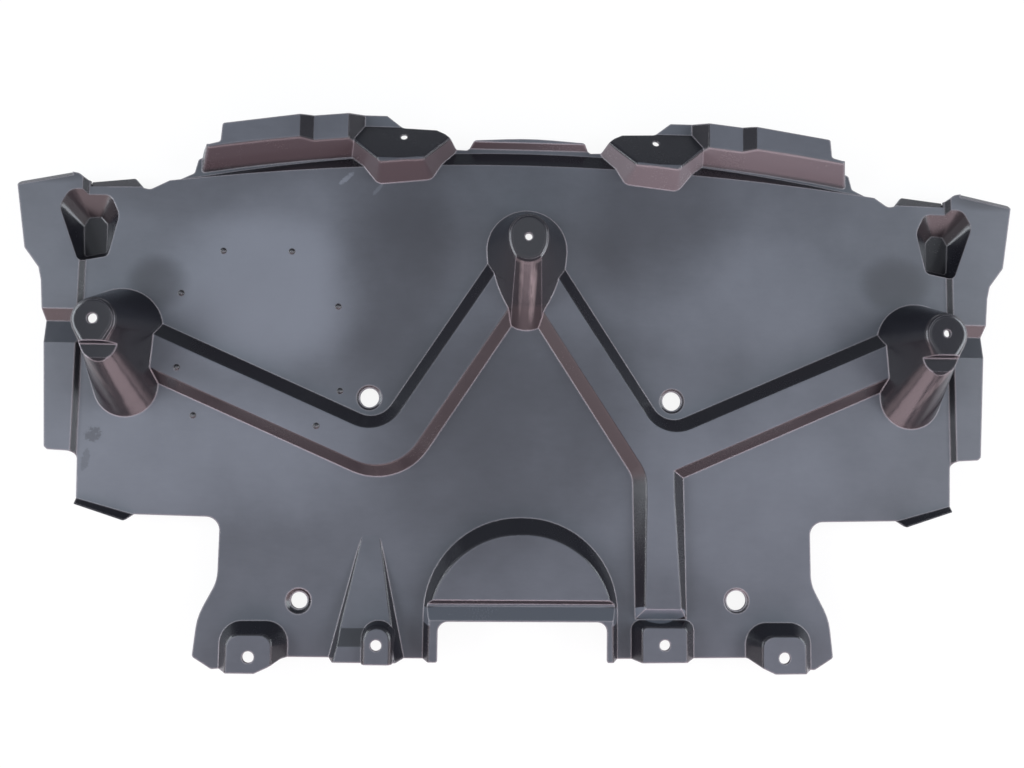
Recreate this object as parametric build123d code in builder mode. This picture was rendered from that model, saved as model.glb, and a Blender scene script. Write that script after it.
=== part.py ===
# Engine splash shield: one moulded sheet of black plastic, seen from its upper side.
# +X is the right-hand side, +Y the front edge, +Z up. The lowest point of the sheet is at z = 0.
from build123d import *
from math import atan2, cos, degrees, hypot, pi, radians, sin, sqrt, tan
import os

# The sheet
wall = 2.5                      # thickness of the moulding
top_round = 3.0                 # radius along the upper edges of raised forms
tower_round = 5.0               # and along the tops of the towers
front_shift = 3.0               # the front edge sits this far right of the middle
rear_shift, cutout_shift = -3.0, 1.4    # the rear edge sits left of it, the rear cut-out right

# Trim line of the right half, front to rear: x, y and corner radius
front_trim = (
    (57.0, 308.0, 3), (66.0, 300.8, 3), (78.0, 301.2, 3),        # centre lip and the notch beside it
    (89.0, 311.5, 4), (98.0, 316.5, 5), (133.0, 318.0, 10),      # fastening tab
    (150.0, 331.0, 3), (173.0, 331.0, 3), (187.0, 326.0, 3),     # low strip and its facet
    (230.0, 321.5, 0), (312.0, 309.0, 3), (313.5, 290.0, 3),     # raised flange
    (324.5, 287.0, 3), (338.5, 288.0, 4), (348.0, 283.0, 4),     # end of the front wall
    (351.5, 268.5, 4), (368.0, 260.5, 0),                        # low shelf beside it
)
wing_trim = (
    (390.0, 247.5, 8), (397.0, 249.0, 4), (409.5, 261.3, 3),     # notch between panel and wing
    (452.0, 254.8, 5), (461.0, 261.8, 5), (471.0, 263.5, 4),
    (523.0, 252.5, 3), (512.0, 183.0, 4), (497.0, 163.0, 5),     # outer corner of the wing
    (494.0, 150.0, 0), (491.0, 112.0, 0), (488.0, 87.0, 3),
    (482.5, -19.0, 3), (479.0, -22.0, 3),
    (451.5, -23.5, 9), (450.3, -69.5, 2),                        # waist behind the wing
    (449.5, -76.0, 1), (399.0, -92.0, 2), (393.0, -86.5, 3),     # turned-up corner
)
rear_trim = (
    (303.5, -88.5, 14), (304.0, -152.0, 40), (322.5, -188.0, 60),
    (326.3, -227.0, 4), (306.8, -239.3, 5), (292.5, -238.0, 3),
    (259.3, -238.4, 4), (246.9, -232.7, 4), (236.5, -227.0, 3),
)
cutout_trim = ((85.0, -228.5, 2), (85.0, -188.5, 10))
lip_apex_y, lip_bow = 311.5, 400.0

# Front drop, shelf and raised flanges
panel_edge_x, panel_edge_y, panel_edge_middle_y = 335.0, 262.5, 283.0
shelf_drop, shelf_width, shelf_middle_width, shelf_draft = 8.0, 4.0, 0.8, 57.0
front_wall_x, front_wall_y, front_wall_middle_y = 344.0, 269.0, 299.3
front_run_x, front_run_fall = 390.0, 7.0
flange_draft, flange_end_draft, flange_end_x = 17.0, 25.3, 344.0
flange_high, flange_low, strip_height = 28.0, 21.0, 4.0
joggle_outer_x, joggle_inner_x = 235.0, 222.0
facet_outer_x, facet_inner_x = 187.0, 173.0
lip_height, lip_wall_y = 3.0, 303.0

# Front fastening tabs, each a block with a steep face turned to the front
tab_rim_height, tab_rim_y, tab_face_angle, tab_draft = 30.0, 277.5, 32.0, 22.0
tab_foot_outer_x, tab_foot_outer_y = 158.5, 259.5
tab_foot_inner_x, tab_foot_inner_y = 102.5, 265.7
tab_flare_outer_x, tab_flare_inner_x, tab_flare_y = 212.0, 66.0, 325.0
tab_foot_round, tab_top_round = 9.0, 3.0
tab_hole, tab_hole_places = 7.0, ((-128.2, 305.8), (135.6, 306.1))

# Mounting towers
tower_height = 62.0
tower_draft = 18.0
tower_foot_places, tower_foot = ((-413.2, 100.6), (417.2, 100.0)), 42.4
tower_top_places, tower_top = ((-412.0, 103.0), (414.2, 103.3)), 20.3
toe_places, toe_foot = ((-406.0, 44.0), (410.0, 42.2)), 32.3
nose_back, nose_top = 11.0, 14.5
ledge_drop, ledge_y, ledge_lean = 12.0, 80.5, 2.0
middle_foot_x, middle_foot_y, middle_foot = 1.8, 192.0, 42.0
middle_foot_bulge, middle_foot_end = (34.0, 148.0), (16.5, 112.5, 107.4)
middle_top_x, middle_top_y, middle_top = 0.2, 194.5, 19.2
middle_top_bulge, middle_top_end = (18.0, 183.0), (12.5, 172.0, 167.9)
tower_hole_places, middle_hole_place = ((-412.0, 103.4), (413.8, 103.8)), (0.1, 191.0)
tower_hole_left, tower_hole_middle, tower_hole_right = 9.4, 7.0, 7.0

# Raised channels that tie the towers together, and the leg to the rear edge
channel_height, channel_foot, channel_draft = 12.0, 57.0, 46.0
channel_outer_x, channel_outer_y = 404.0, 90.6
channel_bend_x, channel_bend_y = 137.4, -25.9
channel_meet_y = 185.0
bend_outside_round, bend_inside_round = 62.0, 25.0
leg_foot, leg_top_x, leg_top_y, leg_end_x, leg_end_y = 53.0, 140.5, -30.0, 144.0, -188.3
leg_outer_round, leg_inner_round = 25.0, 8.0
leg_flare_y, leg_flare_half = -60.0, 18.8        # its top widens from here to this at the rear

# Rear arch round the cut-out
arch_height = 14.0
arch_foot_half, arch_foot_y, arch_foot_round = 99.5, -85.5, 97.0
arch_top_half, arch_top_y, arch_top_round = 93.0, -102.2, 90.0
groove_y, groove_width, groove_depth = -173.5, 2.5, 7.0
groove_front_run, groove_rear_run = 5.0, 12.5

# Rear fastening tabs: middle in x, half width, y of the front and corner radius, at the foot and the top
tab_shift = -1.4                # the two corner tabs sit this far left of the middle
corner_tab_x, corner_tab_height = 267.2, 18.0
corner_tab_foot, corner_tab_top = (34.0, -191.5, 22.0), (22.0, -201.0, 11.0)
corner_tab_hole, corner_tab_hole_y = 11.5, -222.5
leg_tab_foot, leg_tab_top, leg_tab_height = (145.7, 32.2, -189.2, 10.0), (144.5, 22.8, -192.2, 5.0), 16.0
ramp_tab_foot, ramp_tab_top = (-142.9, 17.6, -187.0, 17.0), (-142.7, 14.6, -190.5, 14.2)
ramp_tab_height, ramp_tab_top_round = 25.0, 5.5
small_hole, small_hole_places = 10.8, ((-143.2, -209.2), (144.6, -210.6))
ramp_start_y, ramp_start_left, ramp_start_right = -106.0, -163.5, -144.5
ramp_end_y, ramp_end_left, ramp_end_right = -250.0, -199.0, -113.3
ramp_draft, ramp_height, ramp_bend_y = 20.0, 11.0, -195.5
ramp_shelf_height, ramp_shelf_y = 18.0, -212.5

# Wings, pockets and turned edges
wing_step_x, wing_height, wing_draft, wing_end_y = 452.0, 4.0, 50.0, -60.0
wing_front_y = 300.0
wing_groove_front_y, wing_groove_y, wing_groove_rear_y, wing_groove_depth = 121.0, 109.0, 86.0, 8.0
wing_groove_x = 447.0
pocket_depth, pocket_draft = 16.0, 35.0
pocket_mouth = ((424.0, 247.0), (470.0, 246.5), (480.0, 228.0), (457.5, 169.0), (427.5, 174.5), (414.0, 222.0))
pocket_floor = ((446.5, 221.5), (458.5, 220.5), (463.5, 211.0), (461.8, 178.5), (438.8, 183.5), (439.3, 214.0))
pocket_mouth_round, pocket_floor_round = (12.0, 12.0, 14.0, 8.0, 8.0, 20.0), 3.0
fold_lines = (                  # bend from, bend to, run and fall beyond it, level of the bend
    ((467.0, 259.6), (524.0, 247.9), 4.5, 4.5, wing_height),
    ((388.0, 250.4), (451.0, 249.1), 9.0, 7.0, 0.0),
)
corner_lip_run, corner_lip_rise = 6.0, 7.0
corner_lip_line = ((456.0, -69.1), (388.0, -88.0))

# Access holes and pips
access_places, access_hole = ((-159.1, 34.7), (155.4, 35.6)), 19.5
rear_access_places, rear_access_holes = ((-225.2, -171.8), (222.8, -169.4)), (16.8, 20.5)
access_rim, access_dish, access_dish_left = 26.0, 1.2, 3.0
pip_width, pip_height = 6.0, 1.2
pip_places = ((-312.8, 184.7), (-242.7, 185.6), (-354.1, 139.8), (-193.3, 128.8), (-189.3, 41.3), (-337.4, 14.2))
raised_pip_places = ((-351.0, 62.1), (-210.0, 5.0))

# Derived levels
panel_z = pocket_depth + wall   # height of the panel's upper face above the lowest point
core_z = -60.0                  # both skins are solid down to here before they are subtracted
beyond = 600.0                  # past the trim line on every side
root = 1.0                      # every form starts this far inside the one that carries it


def level(height, sink=0.0):
    """Horizontal plane at a height above the panel, lowered by sink for the under skin."""
    return Plane.XY.offset(panel_z + height - sink)


def inset(draft, sink):
    """Plan distance between the two skins of a wall that leans by draft degrees."""
    return sink * (1 / cos(radians(draft)) - tan(radians(draft)))


def beside(points, shift):
    """The polyline moved sideways by shift, to the left of its direction of travel."""
    ways = []
    for (ax, ay), (bx, by) in zip(points, points[1:]):
        length = hypot(bx - ax, by - ay)
        ways.append(((bx - ax) / length, (by - ay) / length))
    moved = []
    for index, (x, y) in enumerate(points):
        ux, uy = ways[max(index - 1, 0)]
        vx, vy = ways[min(index, len(ways) - 1)]
        scale = shift / (1 + ux * vx + uy * vy)
        moved.append((x - (uy + vy) * scale, y + (ux + vx) * scale))
    return moved


def grown(points, amount):
    """The closed polygon with every side moved outward by amount."""
    ring = [points[-1], *points, points[0]]
    area = sum(ax * by - bx * ay for (ax, ay), (bx, by) in zip(ring[1:], ring[2:]))
    return beside(ring, -amount if area > 0 else amount)[1:-1]


def outline_of(points, rounds):
    """Closed outline through the points, each corner with its own radius."""
    with BuildSketch() as outline:
        with BuildLine():
            if any(rounds):
                FilletPolyline(*points, radius=list(rounds), close=True)
            else:
                Polyline(*points, close=True)
        make_face()
    return outline.sketch


def rounded_rise(height, draft, rounding):
    """Levels of the sections of a leaning wall with a rounded top, and how far each is pulled in."""
    lean = radians(draft)
    sections = [(-wing_groove_depth, 0.0)]
    for step in range(4):
        turn = lean + (pi / 2 - lean) * step / 3
        pull = rounding * ((sin(lean) - sin(turn)) * tan(lean) + cos(lean) - cos(turn))
        sections.append((height - rounding * (1 - sin(turn)), pull))
    return sections


def raised(outline, foot, top, draft, sink, rounding=0.0):
    """Form with leaning walls between two levels, on a flat outline."""
    slope = tan(radians(draft))
    thin = inset(draft, sink)
    with BuildPart() as form:
        with BuildSketch(level(foot - root, sink)):
            add(outline)
            offset(amount=root * slope - thin, kind=Kind.INTERSECTION)
        with BuildSketch(level(top, sink)):
            add(outline)
            offset(amount=(foot - top) * slope - thin, kind=Kind.INTERSECTION)
        loft(ruled=True)
        if rounding:
            fillet(form.faces().sort_by(Axis.Z)[-1].edges(), radius=rounding)
    return form.part


def block(points, foot, top, draft, sink, foot_rounds, top_rounds, below=root):
    """Form with leaning walls over a polygon whose corners are rounder at the foot than at the top."""
    slope = tan(radians(draft))
    thin = inset(draft, sink)
    foot_shift, top_shift = below * slope - thin, (foot - top) * slope - thin
    low_rounds = [rounding and rounding + foot_shift for rounding in foot_rounds]
    high_rounds = [rounding and max(rounding - thin, root) for rounding in top_rounds]
    with BuildPart() as form:
        with BuildSketch(level(foot - below, sink)):
            add(outline_of(grown(points, foot_shift), low_rounds))
        with BuildSketch(level(top, sink)):
            add(outline_of(grown(points, top_shift), high_rounds))
        loft(ruled=True)
    return form.part


def under_roof(form, profile, sink, across):
    """Keep what lies below a roof, drawn as a line of points in the YZ or XZ plane."""
    line = beside(sorted(profile), -sink)
    with BuildPart() as roofed:
        add(form)
        with BuildSketch(Plane.YZ if across == "x" else Plane.XZ):
            with BuildLine():
                lifted = [(x, y + panel_z) for x, y in line]
                Polyline((line[0][0], core_z), *lifted, (line[-1][0], core_z), close=True)
            make_face()
        extrude(amount=beyond, both=True, mode=Mode.INTERSECT)
    return roofed.part


def softened(form, rounding, sink):
    """The form with the edges above its lowest part rounded, on the upper face of the sheet only."""
    with BuildPart() as soft:
        add(form)
        if not sink:
            low = soft.edges().filter_by(lambda edge: edge.center().Z > panel_z + strip_height)
            fillet(low, radius=rounding)
    return soft.part


def trough(profile, middle_x, half, sink):
    """Solid above a valley line in the YZ plane, to be cut away."""
    line = beside(sorted(profile), -sink)
    with BuildPart() as form:
        with BuildSketch(Plane.YZ.offset(middle_x)):
            with BuildLine():
                lifted = [(x, y + panel_z) for x, y in line]
                roof = panel_z + 2 * tower_height
                Polyline((line[0][0], roof), *lifted, (line[-1][0], roof), close=True)
            make_face()
        extrude(amount=half, both=True)
    return form.part


def turned_edge(start, end, run, rise, surface, sink):
    """Wedge along a bend, above a falling fold or below a rising one."""
    length = hypot(end[0] - start[0], end[1] - start[1])
    ahead = ((end[0] - start[0]) / length, (end[1] - start[1]) / length, 0)
    out = (-ahead[1], ahead[0], 0)
    back = root if rise < 0 else -root
    line = [(back * run / rise, surface + back), (3 * run, surface + 3 * rise)]
    line = beside(line, -sink)
    far = tower_height if rise < 0 else core_z / 2
    with BuildPart() as form:
        with BuildSketch(Plane(origin=(*start, 0), x_dir=out, z_dir=ahead)):
            with BuildLine():
                lifted = [(x, y + panel_z) for x, y in line]
                Polyline((line[0][0], far), *lifted, (line[1][0], far), close=True)
            make_face()
        extrude(amount=length)
    return form.part


def two_circles(x1, y1, r1, x2, y2, r2):
    """Outline round a large and a small circle, as two arcs and their two tangents."""
    span = hypot(x2 - x1, y2 - y1)
    ux, uy = (x2 - x1) / span, (y2 - y1) / span
    lean = (r1 - r2) / span
    side = sqrt(1 - lean**2)
    left = (ux * lean - uy * side, uy * lean + ux * side)
    right = (ux * lean + uy * side, uy * lean - ux * side)
    with BuildSketch() as outline:
        with BuildLine():
            big = ThreePointArc(
                (x1 + r1 * left[0], y1 + r1 * left[1]),
                (x1 - r1 * ux, y1 - r1 * uy),
                (x1 + r1 * right[0], y1 + r1 * right[1]),
            )
            Line(big @ 1, (x2 + r2 * right[0], y2 + r2 * right[1]))
            small = ThreePointArc(
                (x2 + r2 * right[0], y2 + r2 * right[1]),
                (x2 + r2 * ux, y2 + r2 * uy),
                (x2 + r2 * left[0], y2 + r2 * left[1]),
            )
            Line(small @ 1, big @ 0)
        make_face()
    return outline.sketch


def tower(index, sink):
    """Outer mounting tower: a round head on a long leaning toe, with a stepped ledge."""
    thin = inset(tower_draft, sink)
    foot_x, foot_y = tower_foot_places[index]
    toe_x, toe_y = toe_places[index]
    top_x, top_y = tower_top_places[index]
    low = (foot_x, foot_y, tower_foot, toe_x, toe_y, toe_foot)
    high = (top_x, top_y, tower_top, top_x, top_y - nose_back, nose_top)
    with BuildPart() as form:
        for height, pull in rounded_rise(tower_height, tower_draft, max(tower_round - sink, root)):
            share = height / tower_height
            x1, y1, r1, x2, y2, r2 = (a + (b - a) * share for a, b in zip(low, high))
            with BuildSketch(level(height, sink)):
                add(two_circles(x1, y1, r1 - thin - pull, x2, y2, r2 - thin - pull))
        loft(ruled=True)
        ledge = tower_height - ledge_drop
        edge_y = toe_y - toe_foot + (top_y - nose_back - nose_top - toe_y + toe_foot) * ledge / tower_height
        steps = [
            (edge_y - tower_round, ledge - tower_round / 2), (edge_y + tower_round / 2, ledge),
            (ledge_y, ledge), (ledge_y + ledge_lean, tower_height + root),
        ]
        add(trough(steps, top_x, tower_foot * 2, sink), mode=Mode.SUBTRACT)
    return form.part


def shield(x, y, r, bulge_half, bulge_y, end_half, end_side_y, end_y):
    """Outline of a round head whose sides bulge and close in to a blunt end."""
    with BuildSketch() as outline:
        with BuildLine():
            head = ThreePointArc((x - r, y), (x, y + r), (x + r, y))
            right = ThreePointArc(head @ 1, (x + bulge_half, bulge_y), (x + end_half, end_side_y))
            end = ThreePointArc(right @ 1, (x, end_y), (x - end_half, end_side_y))
            ThreePointArc(end @ 1, (x - bulge_half, bulge_y), head @ 0)
        make_face()
    return outline.sketch


def middle_tower(sink):
    """Middle mounting tower, whose toe tapers into the meeting channels."""
    thin = inset(tower_draft, sink)
    low = (middle_foot_x, middle_foot_y, middle_foot, *middle_foot_bulge, *middle_foot_end)
    high = (middle_top_x, middle_top_y, middle_top, *middle_top_bulge, *middle_top_end)
    inward = (0, 0, -1, -1, 0, -sqrt(0.5), sqrt(0.5), 1)
    with BuildPart() as form:
        for height, pull in rounded_rise(tower_height, tower_draft, max(tower_round - sink, root)):
            share = height / tower_height
            sizes = (a + (b - a) * share + way * (thin + pull) for a, b, way in zip(low, high, inward))
            with BuildSketch(level(height, sink)):
                add(shield(*sizes))
        loft(ruled=True)
    return form.part


def channel_outline():
    """Two bent bands that meet at the middle tower, and the leg from the right-hand bend to the rear."""
    route = [(channel_outer_x, channel_outer_y), (channel_bend_x, channel_bend_y), (0, channel_meet_y)]
    corners = beside(route, channel_foot / 2) + beside(route, -channel_foot / 2)[::-1]
    half = leg_foot / 2
    with BuildSketch() as outline:
        for side, bend_round in ((-1, bend_outside_round), (1, 0)):
            with BuildLine():
                FilletPolyline(
                    *[(side * x, y) for x, y in corners],
                    radius=[0, bend_round, 0, 0, bend_inside_round, 0],
                    close=True,
                )
            make_face()
        with BuildLine():
            Polyline(
                (leg_top_x - half, leg_top_y),
                (leg_end_x - half, leg_end_y),
                (leg_end_x + half, leg_end_y),
                (leg_top_x + half, leg_top_y),
                close=True,
            )
        make_face()
        low_corners = outline.vertices().filter_by_position(Axis.Y, channel_bend_y - channel_foot, leg_top_y / 2)
        leg_corners = low_corners.filter_by_position(Axis.X, 0, beyond).sort_by(Axis.X)
        fillet(leg_corners[0], radius=leg_outer_round)
        fillet(leg_corners[-1], radius=leg_inner_round)
    return outline.sketch


def leg_flare(sink):
    """The part of the leg whose top widens towards the rear."""
    half, run = leg_foot / 2, channel_height * tan(radians(channel_draft))
    thin = inset(channel_draft, sink)
    rear_thin = inset(degrees(atan2(half - leg_flare_half, channel_height)), sink)
    share = (leg_top_y - leg_flare_y) / (leg_top_y - leg_end_y)
    start_x = leg_top_x + (leg_end_x - leg_top_x) * share
    low = (half - thin, half - rear_thin, leg_end_y + thin)
    high = (half - run - thin, leg_flare_half - rear_thin, leg_end_y + run + thin)
    with BuildPart() as form:
        for height, (front_half, rear_half, rear_y) in ((0, low), (channel_height, high)):
            points = (
                (start_x - front_half, leg_flare_y), (leg_end_x - rear_half, rear_y),
                (leg_end_x + rear_half, rear_y), (start_x + front_half, leg_flare_y),
            )
            with BuildSketch(level(height, sink)):
                add(outline_of(points, (0, 0, 0, 0)))
        loft(ruled=True)
        if not sink:
            fillet(form.faces().sort_by(Axis.Z)[-1].edges(), radius=top_round)
    return form.part


def front_outline(half, end_y, middle_y, shift=0.0):
    """Region in front of a shallow arc that carries on straight, past the trim line."""
    with BuildSketch() as outline:
        with BuildLine():
            start, end = (front_shift - half, end_y + shift), (front_shift + half, end_y + shift)
            ThreePointArc(start, (front_shift, middle_y + shift), end)
            low = end_y + shift - front_run_fall
            left, right = front_shift - front_run_x, front_shift + front_run_x
            Polyline(end, (right, low), (right, beyond), (left, beyond), (left, low), start)
        make_face()
    return outline.sketch


def front_drop(sink):
    """What is cut away in front of the panel edge, down to the narrow shelf."""
    thin = inset(shelf_draft, sink)
    with BuildPart() as form:
        with BuildSketch(level(0, sink)):
            add(front_outline(panel_edge_x, panel_edge_y, panel_edge_middle_y, -thin))
        with BuildSketch(level(-shelf_drop, sink)):
            foot_y, foot_middle_y = front_wall_y - shelf_width, front_wall_middle_y - shelf_middle_width
            add(front_outline(front_wall_x, foot_y, foot_middle_y, -thin))
        loft(ruled=True)
    return form.part


def front_block(sink):
    """Low strips and raised flanges, in one wall along the front."""
    wall_line = front_outline(front_wall_x, front_wall_y, front_wall_middle_y)
    form = raised(wall_line, -shelf_drop, flange_high + 2 * root, flange_draft, sink)
    slope, buried = tan(radians(flange_end_draft)), -shelf_drop - 2 * root
    half_roof = [
        (tab_corner_inner, buried), (tab_corner_outer, strip_height), (facet_inner_x, strip_height),
        (facet_outer_x, flange_low), (joggle_inner_x, flange_low), (joggle_outer_x, flange_high),
        (flange_end_x - (flange_high + shelf_drop) * slope, flange_high),
        (flange_end_x + 2 * root * slope, buried), (beyond, buried),
    ]
    roof = [(front_shift + side * x, z) for x, z in half_roof for side in (-1, 1)]
    return softened(under_roof(form, roof, sink, "y"), top_round, sink)


def centre_lip(sink):
    """Low wall and rim between the two front tabs."""
    half = (tab_corner_inner + tab_corner_outer) / 2
    with BuildSketch() as outline:
        with Locations((front_shift, lip_wall_y)):
            Rectangle(2 * half, beyond, align=(Align.CENTER, Align.MIN))
    return raised(outline.sketch, -shelf_drop, lip_height, flange_draft, sink)


def front_tab(side, sink):
    """Fastening tab at the front, whose face slopes down to the trim line."""
    corners = (
        (tab_flare_outer_x, tab_flare_y), (tab_foot_outer_x, tab_foot_outer_y),
        (tab_foot_inner_x, tab_foot_inner_y), (tab_flare_inner_x, tab_flare_y),
    )
    points = [(front_shift + side * x, y) for x, y in corners]
    foot_rounds, top_rounds = (0, tab_foot_round, tab_foot_round, 0), (0, tab_top_round, tab_top_round, 0)
    top = tab_rim_height + root
    form = block(points, 0, top, tab_draft, sink, foot_rounds, top_rounds, shelf_drop + root)
    fall = (tab_flare_y - tab_rim_y) * tan(radians(tab_face_angle))
    roof = [(0, tab_rim_height), (tab_rim_y, tab_rim_height), (tab_flare_y, tab_rim_height - fall)]
    return softened(under_roof(form, roof, sink, "x"), top_round, sink)


def arch(sink):
    """Raised field round the rear cut-out, with a groove across it."""
    thin = inset(wing_draft, sink)
    with BuildPart() as form:
        for height, half, top_y, rounding in (
            (-root, arch_foot_half, arch_foot_y, arch_foot_round),
            (arch_height, arch_top_half, arch_top_y, arch_top_round),
        ):
            points = ((-half, top_y), (half, top_y), (half, -beyond), (-half, -beyond))
            rounds = (rounding - thin, rounding - thin, 0, 0)
            with BuildSketch(level(height, sink)):
                add(outline_of(grown(points, -thin), rounds))
        loft(ruled=True)
        if not sink:
            fillet(form.faces().sort_by(Axis.Z)[-1].edges(), radius=top_round)
        front, rear = groove_y + groove_width / 2, groove_y - groove_width / 2
        bottom, over = arch_height - groove_depth, 1 + root / groove_depth
        valley = [
            (rear - groove_rear_run * over, arch_height + root), (rear, bottom),
            (front, bottom), (front + groove_front_run * over, arch_height + root),
        ]
        add(trough(valley, 0, arch_foot_half * 2, sink), mode=Mode.SUBTRACT)
    return form.part


def tab(foot, top, height, rounding, sink):
    """Fastening tab at the rear edge, wider at the foot than at the top, with a rounded front."""
    foot_x, foot_half, foot_y, foot_corner = foot
    top_x, top_half, top_y, top_corner = top
    side_draft = degrees(atan2(foot_half - top_half, height))
    front_draft = degrees(atan2(foot_y - top_y, height))
    side_thin, front_thin = inset(side_draft, sink), inset(front_draft, sink)
    with BuildPart() as form:
        for share in (-root / height, 1):
            x, half, y, corner = (a + (b - a) * share for a, b in zip(foot, top))
            half, y, corner = half - side_thin, y - front_thin, max(corner - side_thin, root)
            points = ((x - half, y), (x + half, y), (x + half, -beyond), (x - half, -beyond))
            with BuildSketch(level(height * share, sink)):
                add(outline_of(points, (corner, corner, 0, 0)))
        loft(ruled=True)
        if rounding > sink + root:
            fillet(form.faces().sort_by(Axis.Z)[-1].edges(), radius=rounding - sink)
    return form.part


def ramp(sink):
    """Wedge that widens and climbs to the rear edge."""
    points = (
        (ramp_start_left, ramp_start_y), (ramp_start_right, ramp_start_y),
        (ramp_end_right, ramp_end_y), (ramp_end_left, ramp_end_y),
    )
    form = block(points, 0, ramp_shelf_height + root, ramp_draft, sink, (0, 0, 0, 0), (0, 0, 0, 0))
    slope = ramp_height / (ramp_start_y - ramp_bend_y)
    roof = [
        (ramp_end_y, ramp_shelf_height), (ramp_shelf_y, ramp_shelf_height), (ramp_bend_y, ramp_height),
        (-ramp_shelf_height, ramp_height - slope * (-ramp_shelf_height - ramp_bend_y)),
    ]
    return softened(under_roof(form, roof, sink, "x"), top_round, sink)


def pocket(side, sink):
    """Deep pocket across the edge of a wing, to be cut away."""
    thin = inset(pocket_draft, sink)
    mouth = grown([(side * x, y) for x, y in pocket_mouth], thin)
    floor = grown([(side * x, y) for x, y in pocket_floor], thin)
    with BuildPart() as form:
        with BuildSketch(level(wing_height + root, sink)):
            add(outline_of(mouth, pocket_mouth_round))
        with BuildSketch(level(-pocket_depth, sink)):
            add(outline_of(floor, [pocket_floor_round] * len(floor)))
        loft(ruled=True)
    return form.part


def dish(x, y, hole, depth, sink):
    """Shallow cone round an access hole, to be cut away."""
    flat = hole / 2 + root
    spread = (access_rim / 2 - flat) * (1 + root / depth)
    with BuildPart() as form:
        with Locations((x, y, panel_z - depth - sink)):
            low = (Align.CENTER, Align.CENTER, Align.MIN)
            Cone(bottom_radius=flat, top_radius=flat + spread, height=depth + root, align=low)
    return form.part


def wing_hollows(side, sink):
    """Groove, pocket and turned-down front edges of one wing, to be cut away."""
    bottom, over = wing_height - wing_groove_depth, 1 + root / wing_groove_depth
    valley = [
        (wing_groove_y + (wing_groove_rear_y - wing_groove_y) * over, wing_height + root),
        (wing_groove_y, bottom),
        (wing_groove_y + (wing_groove_front_y - wing_groove_y) * over, wing_height + root),
    ]
    middle_x, half = side * (wing_groove_x + beyond) / 2, (beyond - wing_groove_x) / 2
    forms = [trough(valley, middle_x, half, sink), pocket(side, sink)]
    for start, end, run, fall, surface in fold_lines:
        ends = sorted((side * x, y) for x, y in (start, end))
        forms.append(turned_edge(*ends, run, -fall, surface, sink))
    return forms


def skin(sink):
    """Solid under one face of the sheet: the upper face, or the lower one when sink is the wall."""
    hollows = [front_drop(sink)] + [dish(*hole, sink) for hole in access_holes]
    forms = [front_block(sink), centre_lip(sink), arch(sink), ramp(sink), middle_tower(sink), leg_flare(sink)]
    forms.append(raised(channel_outline(), 0, channel_height, channel_draft, sink, 0 if sink else top_round))
    forms.append(tab(ramp_tab_foot, ramp_tab_top, ramp_tab_height, ramp_tab_top_round, sink))
    forms.append(tab(leg_tab_foot, leg_tab_top, leg_tab_height, top_round, sink))
    for index, side in enumerate((-1, 1)):
        hollows += wing_hollows(side, sink)
        lip = sorted([(side * x, y) for x, y in corner_lip_line], reverse=True)
        forms.append(turned_edge(*lip, corner_lip_run, corner_lip_rise, 0, sink))
        forms += [front_tab(side, sink), tower(index, sink)]
        middle_x = tab_shift + side * corner_tab_x
        foot, top = (middle_x, *corner_tab_foot), (middle_x, *corner_tab_top)
        forms.append(tab(foot, top, corner_tab_height, top_round, sink))
    places = [(x, y, 0) for x, y in pip_places] + [(x, y, channel_height) for x, y in raised_pip_places]
    with BuildPart() as solid:
        with BuildSketch(Plane.XY.offset(core_z - sink)):
            Rectangle(2 * beyond, 2 * beyond)
        extrude(amount=panel_z - core_z)
        for side in (-1, 1):
            corners = (
                (wing_step_x, wing_front_y), (beyond, wing_front_y), (beyond, wing_end_y), (wing_step_x, wing_end_y),
            )
            wing = [(side * x, y) for x, y in corners]
            add(block(wing, 0, wing_height, wing_draft, sink, (0, 0, 0, 0), (0, 0, 0, 0)))
        add(hollows, mode=Mode.SUBTRACT)
        add(forms)
        if not sink:
            with Locations([(x, y, panel_z + height - root) for x, y, height in places]):
                low = (Align.CENTER, Align.CENTER, Align.MIN)
                Cone(pip_width / 2 + root, pip_width / 4, pip_height + root, align=low)
    return solid.part


def trim_outline():
    """Edge of the whole sheet; the front and the rear each sit a little off the middle."""
    right = []
    for points, shift in ((front_trim, front_shift), (wing_trim, 0), (rear_trim, rear_shift), (cutout_trim, cutout_shift)):
        right += [(x, y, rounding, shift) for x, y, rounding in points]
    whole = [(shift - x, y, rounding) for x, y, rounding, shift in right[::-1]]
    whole += [(front_shift, lip_apex_y, lip_bow)]
    whole += [(shift + x, y, rounding) for x, y, rounding, shift in right]
    return outline_of([(x, y) for x, y, rounding in whole], [rounding for x, y, rounding in whole])


tab_corner_inner, tab_corner_outer = tab_flare_inner_x + 20, tab_flare_inner_x + 30
access_holes = tuple((x, y, access_hole, access_dish) for x, y in access_places) + tuple(
    (x, y, hole, depth)
    for (x, y), hole, depth in zip(rear_access_places, rear_access_holes, (access_dish_left, access_dish))
)
upright_holes = (
    (*tower_hole_places[0], tower_hole_left), (*tower_hole_places[1], tower_hole_right),
    (*middle_hole_place, tower_hole_middle),
    (tab_shift - corner_tab_x, corner_tab_hole_y, corner_tab_hole),
    (tab_shift + corner_tab_x, corner_tab_hole_y, corner_tab_hole),
) + tuple((x, y, small_hole) for x, y in small_hole_places)
upright_holes += tuple((x, y, tab_hole) for x, y in tab_hole_places) + tuple(hole[:3] for hole in access_holes)

with BuildPart() as sheet:
    add(skin(0))
    with BuildSketch(Plane.XY.offset(core_z + root)):
        add(trim_outline())
    extrude(amount=beyond, mode=Mode.INTERSECT)
    add(skin(wall), mode=Mode.SUBTRACT)
    for x, y, hole in upright_holes:
        with BuildSketch(level(-shelf_drop)):
            with Locations((x, y)):
                Circle(hole / 2)
        extrude(amount=tower_height * 2, mode=Mode.SUBTRACT)

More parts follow.
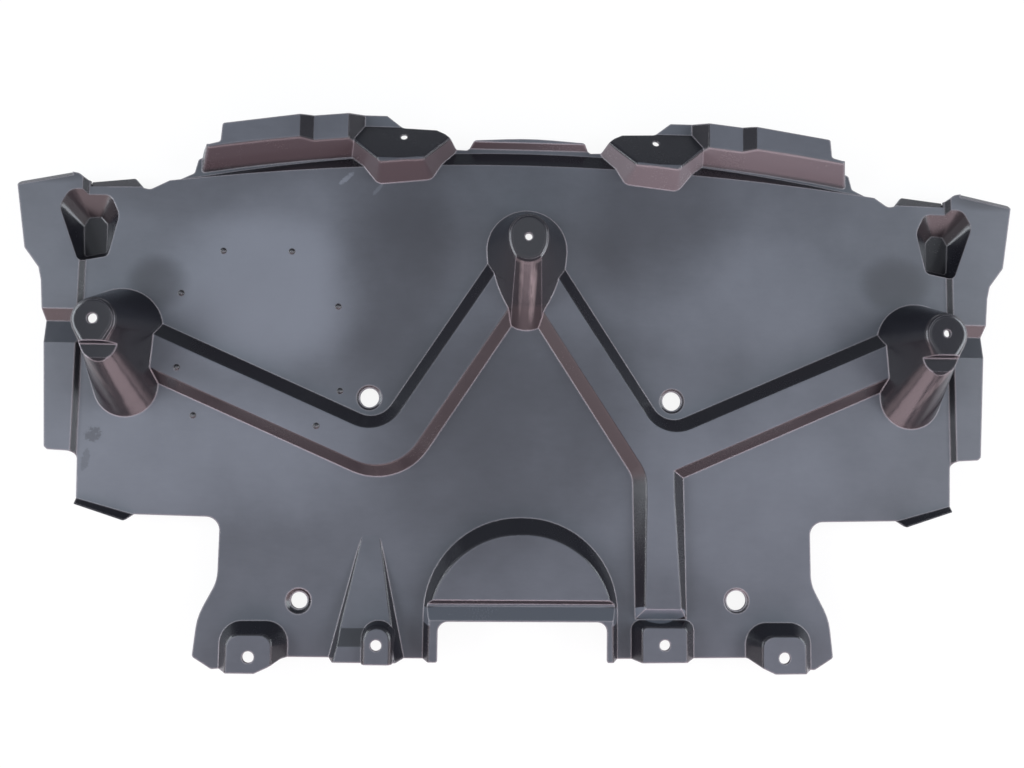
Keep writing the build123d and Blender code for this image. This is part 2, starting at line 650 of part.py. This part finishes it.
box = sheet.part.bounding_box()
with BuildPart() as splash_shield:
    with Locations((-box.center().X, -box.center().Y, -box.min.Z)):
        add(sheet.part)

splash_shield.part.label = "splash_shield"
os.makedirs("parts", exist_ok=True)
export_step(splash_shield.part, "parts/splash_shield.step")
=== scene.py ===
# Engine splash shield: one black moulded sheet, dressed for its picture.
import math

import bpy
from mathutils import Matrix, Vector

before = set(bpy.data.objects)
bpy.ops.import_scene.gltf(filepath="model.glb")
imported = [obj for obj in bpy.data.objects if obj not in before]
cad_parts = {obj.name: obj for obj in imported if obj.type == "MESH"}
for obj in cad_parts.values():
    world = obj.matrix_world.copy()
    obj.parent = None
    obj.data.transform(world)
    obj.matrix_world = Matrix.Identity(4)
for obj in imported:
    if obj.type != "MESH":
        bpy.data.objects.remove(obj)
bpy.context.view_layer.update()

# The camera stands over the sheet, tipped a little towards the front edge and to the right.
# Its turns are in degrees, about X, about Y and about the line of sight.
CAMERA_TILT, CAMERA_SWING, CAMERA_ROLL = 3.674, -2.168, 0.900
CAMERA_PLACE = (-0.0424, -0.0459, 0.8164)
CAMERA_LENS, CAMERA_SENSOR = 27.07, 36.0        # millimetres

# Tones of the plastic: the grained flats lie between two, the drawn walls get a painted warm light where they
# look to the rear, and painted light, painted highlights and painted shade sit on flanges, edges, toes and
# pips
PANEL_DARK, PANEL_LIGHT = (0.029, 0.031, 0.039), (0.120, 0.131, 0.154)
WALL_DARK, WALL_PAINTED_WARM_LIGHT = (0.010, 0.010, 0.0135), (0.022, 0.0165, 0.0185)
FLANGE_PAINTED_LIGHT, FLANGE_PAINTED_BRIGHTER_LIGHT = (0.080, 0.062, 0.067), (0.180, 0.155, 0.165)
EDGE_PAINTED_HIGHLIGHT, TOE_HIGHLIGHT_PAINT = (0.34, 0.31, 0.33), (0.20, 0.165, 0.165)
PIP_PAINTED_SHADE, PIP_PAINTED_HIGHLIGHT = (0.008, 0.008, 0.010), (0.10, 0.10, 0.11)
WHITE = (1, 1, 1, 1)

# The panel's shade, from 0 for its dark tone to 1 for its light one, and how far each noise moves it
PANEL_SHADE = 0.44
CLOUD_SWING, PATCH_SWING, SCRATCH_SWING = 0.45, 0.30, 0.10

# Gloss and relief
WALL_ROUGHNESS, FLAT_ROUGHER, TOWER_SMOOTHER = 0.26, 0.18, 0.05
PATCH_ROUGHNESS_SWING, GRAIN_ROUGHNESS_SWING = 0.10, 0.06
GRAIN_STRENGTH, GRAIN_DEPTH = 0.10, 0.0003
EDGE_RADIUS, EDGE_SAMPLES = 0.0022, 4
PLASTIC_IOR = 1.5

# How strongly each finish covers the one beneath it
FLANGE_COVER, TOWER_COVER, PIP_SHADE_COVER, PIP_HIGHLIGHT_COVER = 0.8, 0.6, 0.9, 0.8
EDGE_HIGHLIGHT_EVERYWHERE, EDGE_HIGHLIGHT_MORE_TO_REAR, EDGE_HIGHLIGHT_LOST_IN_POCKETS = 0.25, 0.55, 0.6

# Where one finish goes over into the next: the value that counts as 0, then the one that counts as 1
FLAT_TILT = (0.90, 0.985)       # upward part of the way a face looks, 1 on a level face
TOE_TILT = (0.85, 0.70)
PAINTED_WARM_LIGHT_FACING = (0.12, -0.35)     # forward part of the way a face looks, below 0 when it looks to the rear
FLANGE_FACING = (-0.2, -0.5)
EDGE_HIGHLIGHT_FACING = (0.45, 0.0)
TOWER_LEVEL = (0.030, 0.036)    # height in metres
POCKET_LEVEL = (0.015, 0.010)
FOLD_LEVEL = (0.017, 0.014)
TOE_LEVEL = (0.020, 0.030)
FLANGE_START = (0.195, 0.215)   # y in metres
FLANGE_LIGHTER = (-0.08, 0.14)  # x in metres
EDGE_BEND = (0.010, 0.055)      # how far the rounded direction leaves the face's own
SCUFF_EDGE = (0.35, 0.90)
STREAK_GAPS = (0.25, 0.65)

# Places on the sheet. Each size is half the ellipse's length and half its width, and a turn is in degrees.
TOWERS = (                      # place and reach
    ((-0.411, 0.035), 0.072),
    ((0.415, 0.035), 0.072),
    ((0.001, 0.140), 0.060),
)
PAINTED_LIGHT_PATCHES = (                      # place, size and change of tone of the broad soft patches of painted light and painted shade
    ((-0.275, 0.095), (0.13, 0.10), 0.42),
    ((-0.25, 0.17), (0.12, 0.06), 0.08),
    ((-0.14, 0.12), (0.08, 0.17), -0.26),
    ((-0.02, -0.06), (0.16, 0.16), -0.25),
    ((0.14, 0.17), (0.10, 0.10), -0.20),
    ((-0.36, 0.21), (0.14, 0.05), -0.12),
    ((-0.32, -0.07), (0.22, 0.09), 0.27),
    ((0.23, 0.10), (0.15, 0.08), 0.17),
    ((0.22, -0.11), (0.15, 0.12), 0.10),
    ((0.02, 0.20), (0.30, 0.08), -0.08),
    ((-0.378, 0.104), (0.038, 0.034), -0.40),
    ((0.395, 0.118), (0.045, 0.036), -0.32),
    ((-0.495, 0.218), (0.060, 0.015), -0.35),
    ((0.505, 0.212), (0.060, 0.015), -0.35),
)
FOLD_PAINTED_SHADE = (                       # place, size and turn of the painted shade on the turned-up rear corners
    ((-0.426, -0.131), (0.040, 0.013), -16.0),
    ((0.425, -0.130), (0.040, 0.013), 16.0),
)
POCKETS = (                     # place and size of the pockets of the wings
    ((-0.455, 0.168), (0.042, 0.044)),
    ((0.460, 0.169), (0.042, 0.044)),
)
PAINTED_LIGHT_SLOPES = (                 # place, size and strength of the painted light on the leg's end slope and the step behind the arch
    ((0.142, -0.227), (0.028, 0.010), 1.0),
    ((0.0, -0.230), (0.130, 0.013), 0.55),
)
SCUFFS = (                      # place, size, turn and change of tone of two pale scuffs and two dark stains
    ((-0.188, 0.219), (0.015, 0.004), 45.0, 0.45),
    ((-0.156, 0.207), (0.013, 0.003), 50.0, 0.20),
    ((-0.436, -0.052), (0.013, 0.011), 20.0, -0.32),
    ((-0.443, -0.078), (0.016, 0.006), 80.0, -0.20),
)
TOE_PAINTED_HIGHLIGHTS = (                 # place, size, turn and strength of the painted highlight streaks on the towers' toes
    ((0.006, 0.103), (0.0045, 0.048), 0.0, 0.75),
    ((-0.006, 0.108), (0.0030, 0.040), 0.0, 0.35),
    ((-0.424, 0.022), (0.0040, 0.050), 24.0, 0.15),
    ((0.421, 0.020), (0.0045, 0.050), -26.0, 0.45),
)
PIPS = (                        # the small raised marks of the mould
    (-0.3128, 0.1388), (-0.2427, 0.1397), (-0.3541, 0.0939), (-0.1933, 0.0829),
    (-0.1893, -0.0046), (-0.3374, -0.0317), (-0.3510, 0.0162), (-0.2100, -0.0409),
)
SCUFF_REACH, SCUFF_RAGGEDNESS = 0.024, 2.2
# reach of the painted shade round each pip and of the painted highlight on its crown, and where that highlight
# sits
PIP_SHADE_REACH, PIP_HIGHLIGHT_REACH = 0.0040, 0.0014
PIP_HIGHLIGHT_SHIFT = (0.0005, -0.0006)

# The studio
FLOOR_HALF, FLOOR_LEVEL = 8.0, -0.0005
FLOOR_TONE, FLOOR_ROUGHNESS = (0.8, 0.8, 0.8, 1), 0.9
FLOOR_WHITENESS = 0.9           # share of plain white that the camera sees, the rest shows the shadow
AROUND_TONE, AROUND_STRENGTH = (0.86, 0.92, 1.0, 1), 0.25
COOL, WARM = (0.88, 0.94, 1.0), (1.0, 0.76, 0.82)
LAMPS = (                       # name, place, target, size, power and colour
    ("overhead_box", (0.0, 0.1, 2.2), (0, 0, 0), (3.0, 2.2), 20.0, COOL),
    ("left_box", (-2.2, 0.1, 1.25), (0, 0, 0), (2.0, 0.9), 55.0, COOL),
    ("right_box", (2.2, 0.1, 1.25), (0, 0, 0), (2.0, 0.9), 50.0, COOL),
    ("rear_left_box", (-1.7, -1.5, 0.9), (0, 0, 0.02), (1.8, 1.0), 15.0, (1.0, 0.76, 0.80)),
    ("rear_box", (0.0, -2.2, 0.9), (0, 0, 0.02), (1.8, 1.0), 27.0, WARM),
    ("rear_right_box", (1.7, -1.5, 0.9), (0, 0, 0.02), (1.8, 1.0), 19.0, WARM),
)


class Field:
    """A number that varies over a surface, written as plain arithmetic."""

    def __init__(self, finish, socket):
        self.finish, self.socket = finish, socket

    def _join(self, operation, first, second):
        return self.finish.node("ShaderNodeMath", {"operation": operation}, [first, second])

    def __add__(self, other):
        return self._join("ADD", self, other)

    def __radd__(self, other):
        return self._join("ADD", other, self)

    def __sub__(self, other):
        return self._join("SUBTRACT", self, other)

    def __rsub__(self, other):
        return self._join("SUBTRACT", other, self)

    def __mul__(self, other):
        return self._join("MULTIPLY", self, other)

    def __truediv__(self, other):
        return self._join("DIVIDE", self, other)

    def most(self, other):
        return self._join("MAXIMUM", self, other)

    def swing(self, amount):
        """A noise taken as its distance from its average of a half, times amount."""
        return (self - 0.5) * amount

    def step(self, low, high):
        """0 below low, 1 above high, smooth between; low above high turns it round."""
        return self.finish.node(
            "ShaderNodeMapRange", {"interpolation_type": "SMOOTHSTEP"},
            {"Value": self, "From Min": low, "From Max": high, "To Min": 0.0, "To Max": 1.0},
        )


class Finish:
    """The nodes of one material or world, built one by one."""

    def __init__(self, owner):
        self.owner = owner
        self.owner.use_nodes = True
        self.tree = self.owner.node_tree
        self.tree.nodes.clear()

    def node(self, kind, settings=None, values=None, output=0):
        """Add a node: its settings first, then a value or a link for each socket named or numbered."""
        node = self.tree.nodes.new(kind)
        for key, value in (settings or {}).items():
            setattr(node, key, value)
        pairs = values.items() if isinstance(values, dict) else enumerate(values or [])
        for key, value in pairs:
            if isinstance(value, Field):
                self.tree.links.new(value.socket, node.inputs[key])
            else:
                node.inputs[key].default_value = value
        return Field(self, node.outputs[output])

    def part(self, vector, axis):
        """One part of a vector: 0 for x, 1 for y, 2 for z."""
        return self.node("ShaderNodeSeparateXYZ", values=[vector], output=axis)

    def places(self):
        """Object coordinates and their three parts, in metres."""
        point = self.node("ShaderNodeTexCoord", output="Object")
        return point, [self.part(point, axis) for axis in range(3)]

    def noise(self, point, scale, detail=3.0, roughness=0.5, stretch=(1, 1, 1), seed=0.0):
        """Noise between 0 and 1, with an average of a half."""
        placing = {"Vector": point, "Scale": stretch, "Location": (seed, 0, 0)}
        mapped = self.node("ShaderNodeMapping", values=placing)
        values = {"Vector": mapped, "Scale": scale, "Detail": detail, "Roughness": roughness}
        return self.node("ShaderNodeTexNoise", values=values)

    def blend(self, amount, first, second):
        """Colour that goes from first to second as amount goes from 0 to 1."""
        first, second = [one if isinstance(one, Field) else (*one, 1.0) for one in (first, second)]
        return self.node("ShaderNodeMix", {"data_type": "RGBA"}, {0: amount, 6: first, 7: second}, output=2)

    def finish(self, shader, output="ShaderNodeOutputMaterial"):
        """Link the shader to the owner's output, and give the owner back."""
        end = self.tree.nodes.new(output)
        self.tree.links.new(shader.socket, end.inputs["Surface"])
        return self.owner


def spot(x, y, place, size, turn=0.0, inner=0.0):
    """1 in the middle of an ellipse, falling smoothly to 0 at its edge.

    It stays 1 up to where the squared distance, as a share of the edge's, passes inner.
    """
    cosine, sine = math.cos(math.radians(turn)), math.sin(math.radians(turn))
    right, up = x - place[0], y - place[1]
    along, across = (right * cosine + up * sine) / size[0], (up * cosine - right * sine) / size[1]
    return (along * along + across * across).step(1.0, inner)


def all_spots(spots):
    """The highest of several fields, at every place."""
    highest = spots[0]
    for one in spots[1:]:
        highest = highest.most(one)
    return highest


def shield_plastic():
    """Grained grey panel, glossier and darker where the sheet was drawn into walls and towers, with painted
    light, painted shade and painted highlights over it.
    """
    made = Finish(bpy.data.materials.new("black_moulding"))
    point, (x, y, z) = made.places()
    facing = made.node("ShaderNodeNewGeometry", output="Normal")
    upright, forward = made.part(facing, 2), made.part(facing, 1)
    rounded = made.node("ShaderNodeBevel", {"samples": EDGE_SAMPLES}, {"Radius": EDGE_RADIUS})
    likeness = made.node(
        "ShaderNodeVectorMath", {"operation": "DOT_PRODUCT"}, [facing, rounded], output=1
    )
    edges = (1.0 - likeness).step(*EDGE_BEND)

    # Where the sheet is flat, low and as moulded
    towers = all_spots([spot(x, y, place, (reach, reach), inner=0.80) for place, reach in TOWERS])
    pockets = all_spots([spot(x, y, place, size, inner=0.80) for place, size in POCKETS])
    level = upright.most(upright * -1.0).step(*FLAT_TILT)
    raised, sunk = towers * z.step(*TOWER_LEVEL), pockets * z.step(*POCKET_LEVEL)
    flat = level * (1.0 - raised) * (1.0 - sunk)

    clouds = made.noise(point, scale=4.5, detail=3.0, roughness=0.5)
    patches = made.noise(point, scale=15.0, detail=5.0, roughness=0.6, seed=3.0)
    scratches = made.noise(
        point, scale=60.0, detail=6.0, roughness=0.7, stretch=(1.0, 3.0, 1.0), seed=8.0
    )
    flecks = made.noise(point, scale=240.0, detail=4.0, roughness=0.7, seed=5.0)
    grain = made.noise(point, scale=700.0, detail=2.0, roughness=0.6)
    streaks = made.noise(
        point, scale=220.0, detail=3.0, roughness=0.6, stretch=(1.0, 0.08, 0.2), seed=11.0
    )

    # The panel's shade, with broad patches of painted light and painted shade, the scuffs and stains, and
    # painted shade on the turned-up rear corners
    shade = PANEL_SHADE + clouds.swing(CLOUD_SWING) + patches.swing(PATCH_SWING)
    shade = shade + scratches.swing(SCRATCH_SWING)
    # broad patches of painted light and painted shade, darker beside the outer towers and along the wings'
    # front edges
    for place, size, change in PAINTED_LIGHT_PATCHES:
        shade = shade + spot(x, y, place, size) * change
    for place, size, turn, change in SCUFFS:
        ragged = spot(x, y, place, size, turn) + flecks.swing(SCUFF_RAGGEDNESS)
        near = spot(x, y, place, (SCUFF_REACH, SCUFF_REACH), inner=0.5)
        shade = shade + ragged.step(*SCUFF_EDGE) * near * change
    # painted shade on the turned-up rear corners, above the fold level
    fold_shade = all_spots([spot(x, y, place, size, turn, 0.4) for place, size, turn in FOLD_PAINTED_SHADE])
    shade = shade - fold_shade * z.step(*FOLD_LEVEL)
    panel = made.blend(shade.step(0.0, 1.0), PANEL_DARK, PANEL_LIGHT)

    # The walls' tones, with painted warm light on walls that look to the rear and on the front flanges, darker
    # towers, painted highlight streaks on the towers' toes and painted light on the pale slopes
    # painted warm light on walls that look to the rear; walls that look forward keep the dark plastic tone
    wall = made.blend(forward.step(*PAINTED_WARM_LIGHT_FACING), WALL_DARK, WALL_PAINTED_WARM_LIGHT)
    # painted warm light on the rear-looking walls of the front flanges, brighter towards +x
    flange_light_tone = made.blend(x.step(*FLANGE_LIGHTER), FLANGE_PAINTED_LIGHT, FLANGE_PAINTED_BRIGHTER_LIGHT)
    on_flange_light = y.step(*FLANGE_START) * forward.step(*FLANGE_FACING) * FLANGE_COVER
    wall = made.blend(on_flange_light, wall, flange_light_tone)
    wall = made.blend(towers * TOWER_COVER, wall, WALL_DARK)
    # painted highlight streaks on the towers' toes
    for place, size, turn, strength in TOE_PAINTED_HIGHLIGHTS:
        toe_highlight = spot(x, y, place, size, turn) * streaks.step(*STREAK_GAPS) * strength
        toe_highlight = toe_highlight * z.step(*TOE_LEVEL) * upright.step(*TOE_TILT)
        wall = made.blend(toe_highlight, wall, TOE_HIGHLIGHT_PAINT)
    # painted light on the leg's end slope and the step behind the arch
    for place, size, strength in PAINTED_LIGHT_SLOPES:
        wall = made.blend(spot(x, y, place, size, inner=0.85) * strength, wall, PANEL_LIGHT)

    # Panel over wall, then the painted highlight along the edges, and the pips' painted shade and painted
    # highlight over both
    colour = made.blend(flat, wall, panel)
    edges = edges * (1.0 - pockets * EDGE_HIGHLIGHT_LOST_IN_POCKETS)
    # painted highlight along the rounded edges, stronger on edges that look to the rear
    edge_highlight = edges * (EDGE_HIGHLIGHT_EVERYWHERE + forward.step(*EDGE_HIGHLIGHT_FACING) * EDGE_HIGHLIGHT_MORE_TO_REAR)
    colour = made.blend(edge_highlight, colour, EDGE_PAINTED_HIGHLIGHT)
    # painted shade round each pip, and a painted highlight on its crown
    pip_shades, pip_highlights = [], []
    for right, up in PIPS:
        pip_highlight_place = (right + PIP_HIGHLIGHT_SHIFT[0], up + PIP_HIGHLIGHT_SHIFT[1])
        pip_shades.append(spot(x, y, (right, up), (PIP_SHADE_REACH, PIP_SHADE_REACH), inner=0.5))
        pip_highlights.append(spot(x, y, pip_highlight_place, (PIP_HIGHLIGHT_REACH, PIP_HIGHLIGHT_REACH)))
    colour = made.blend(all_spots(pip_shades) * PIP_SHADE_COVER, colour, PIP_PAINTED_SHADE)
    colour = made.blend(all_spots(pip_highlights) * PIP_HIGHLIGHT_COVER, colour, PIP_PAINTED_HIGHLIGHT)

    rough = WALL_ROUGHNESS + patches.swing(PATCH_ROUGHNESS_SWING) + flat * FLAT_ROUGHER
    rough = rough + grain.swing(GRAIN_ROUGHNESS_SWING) - towers * TOWER_SMOOTHER
    relief = {"Strength": GRAIN_STRENGTH, "Distance": GRAIN_DEPTH, "Height": grain * flat, "Normal": rounded}
    bump = made.node("ShaderNodeBump", values=relief)
    plastic = {"Base Color": colour, "Roughness": rough, "IOR": PLASTIC_IOR, "Normal": bump}
    return made.finish(made.node("ShaderNodeBsdfPrincipled", values=plastic))


def make_floor():
    mesh = bpy.data.meshes.new("floor")
    half, level = FLOOR_HALF, FLOOR_LEVEL
    corners = [(-half, -half, level), (half, -half, level), (half, half, level), (-half, half, level)]
    mesh.from_pydata(corners, [], [(0, 1, 2, 3)])
    floor = bpy.data.objects.new("floor", mesh)
    bpy.context.scene.collection.objects.link(floor)
    made = Finish(bpy.data.materials.new("pale_floor"))
    dull = {"Base Color": FLOOR_TONE, "Roughness": FLOOR_ROUGHNESS}
    matt = made.node("ShaderNodeBsdfPrincipled", values=dull)
    white = made.node("ShaderNodeEmission", values={"Color": WHITE, "Strength": 1.0})
    whiteness = made.node("ShaderNodeLightPath", output="Is Camera Ray") * FLOOR_WHITENESS
    mesh.materials.append(made.finish(made.node("ShaderNodeMixShader", values=[whiteness, matt, white])))


def make_world():
    """White behind the part for the camera, a faint cool light for all else."""
    world = bpy.data.worlds.new("studio")
    bpy.context.scene.world = world
    made = Finish(world)
    seen = made.node("ShaderNodeLightPath", output="Is Camera Ray")
    around = made.node("ShaderNodeBackground", values={"Color": AROUND_TONE, "Strength": AROUND_STRENGTH})
    behind = made.node("ShaderNodeBackground", values={"Color": WHITE, "Strength": 1.0})
    mixed = made.node("ShaderNodeMixShader", values=[seen, around, behind])
    made.finish(mixed, "ShaderNodeOutputWorld")


def make_lamp(name, place, target, size, power, colour):
    lamp = bpy.data.lights.new(name, "AREA")
    lamp.shape = "RECTANGLE"
    lamp.size, lamp.size_y = size
    lamp.energy, lamp.color = power, colour
    holder = bpy.data.objects.new(name, lamp)
    holder.matrix_world = (
        Matrix.Translation(place)
        @ (Vector(place) - Vector(target)).to_track_quat("Z", "Y").to_matrix().to_4x4()
    )
    bpy.context.scene.collection.objects.link(holder)


def make_camera():
    lens = bpy.data.cameras.new("camera")
    lens.sensor_width, lens.lens = CAMERA_SENSOR, CAMERA_LENS
    camera = bpy.data.objects.new("camera", lens)
    turn = (
        Matrix.Rotation(math.radians(CAMERA_TILT), 4, "X")
        @ Matrix.Rotation(math.radians(CAMERA_SWING), 4, "Y")
        @ Matrix.Rotation(math.radians(CAMERA_ROLL), 4, "Z")
    )
    camera.matrix_world = Matrix.Translation(CAMERA_PLACE) @ turn
    bpy.context.scene.collection.objects.link(camera)
    bpy.context.scene.camera = camera


make_camera()
make_world()
make_floor()
for lamp in LAMPS:
    make_lamp(*lamp)

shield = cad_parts["splash_shield"]
shield.data.materials.clear()
shield.data.materials.append(shield_plastic())

bpy.context.scene.view_settings.view_transform = "Standard"
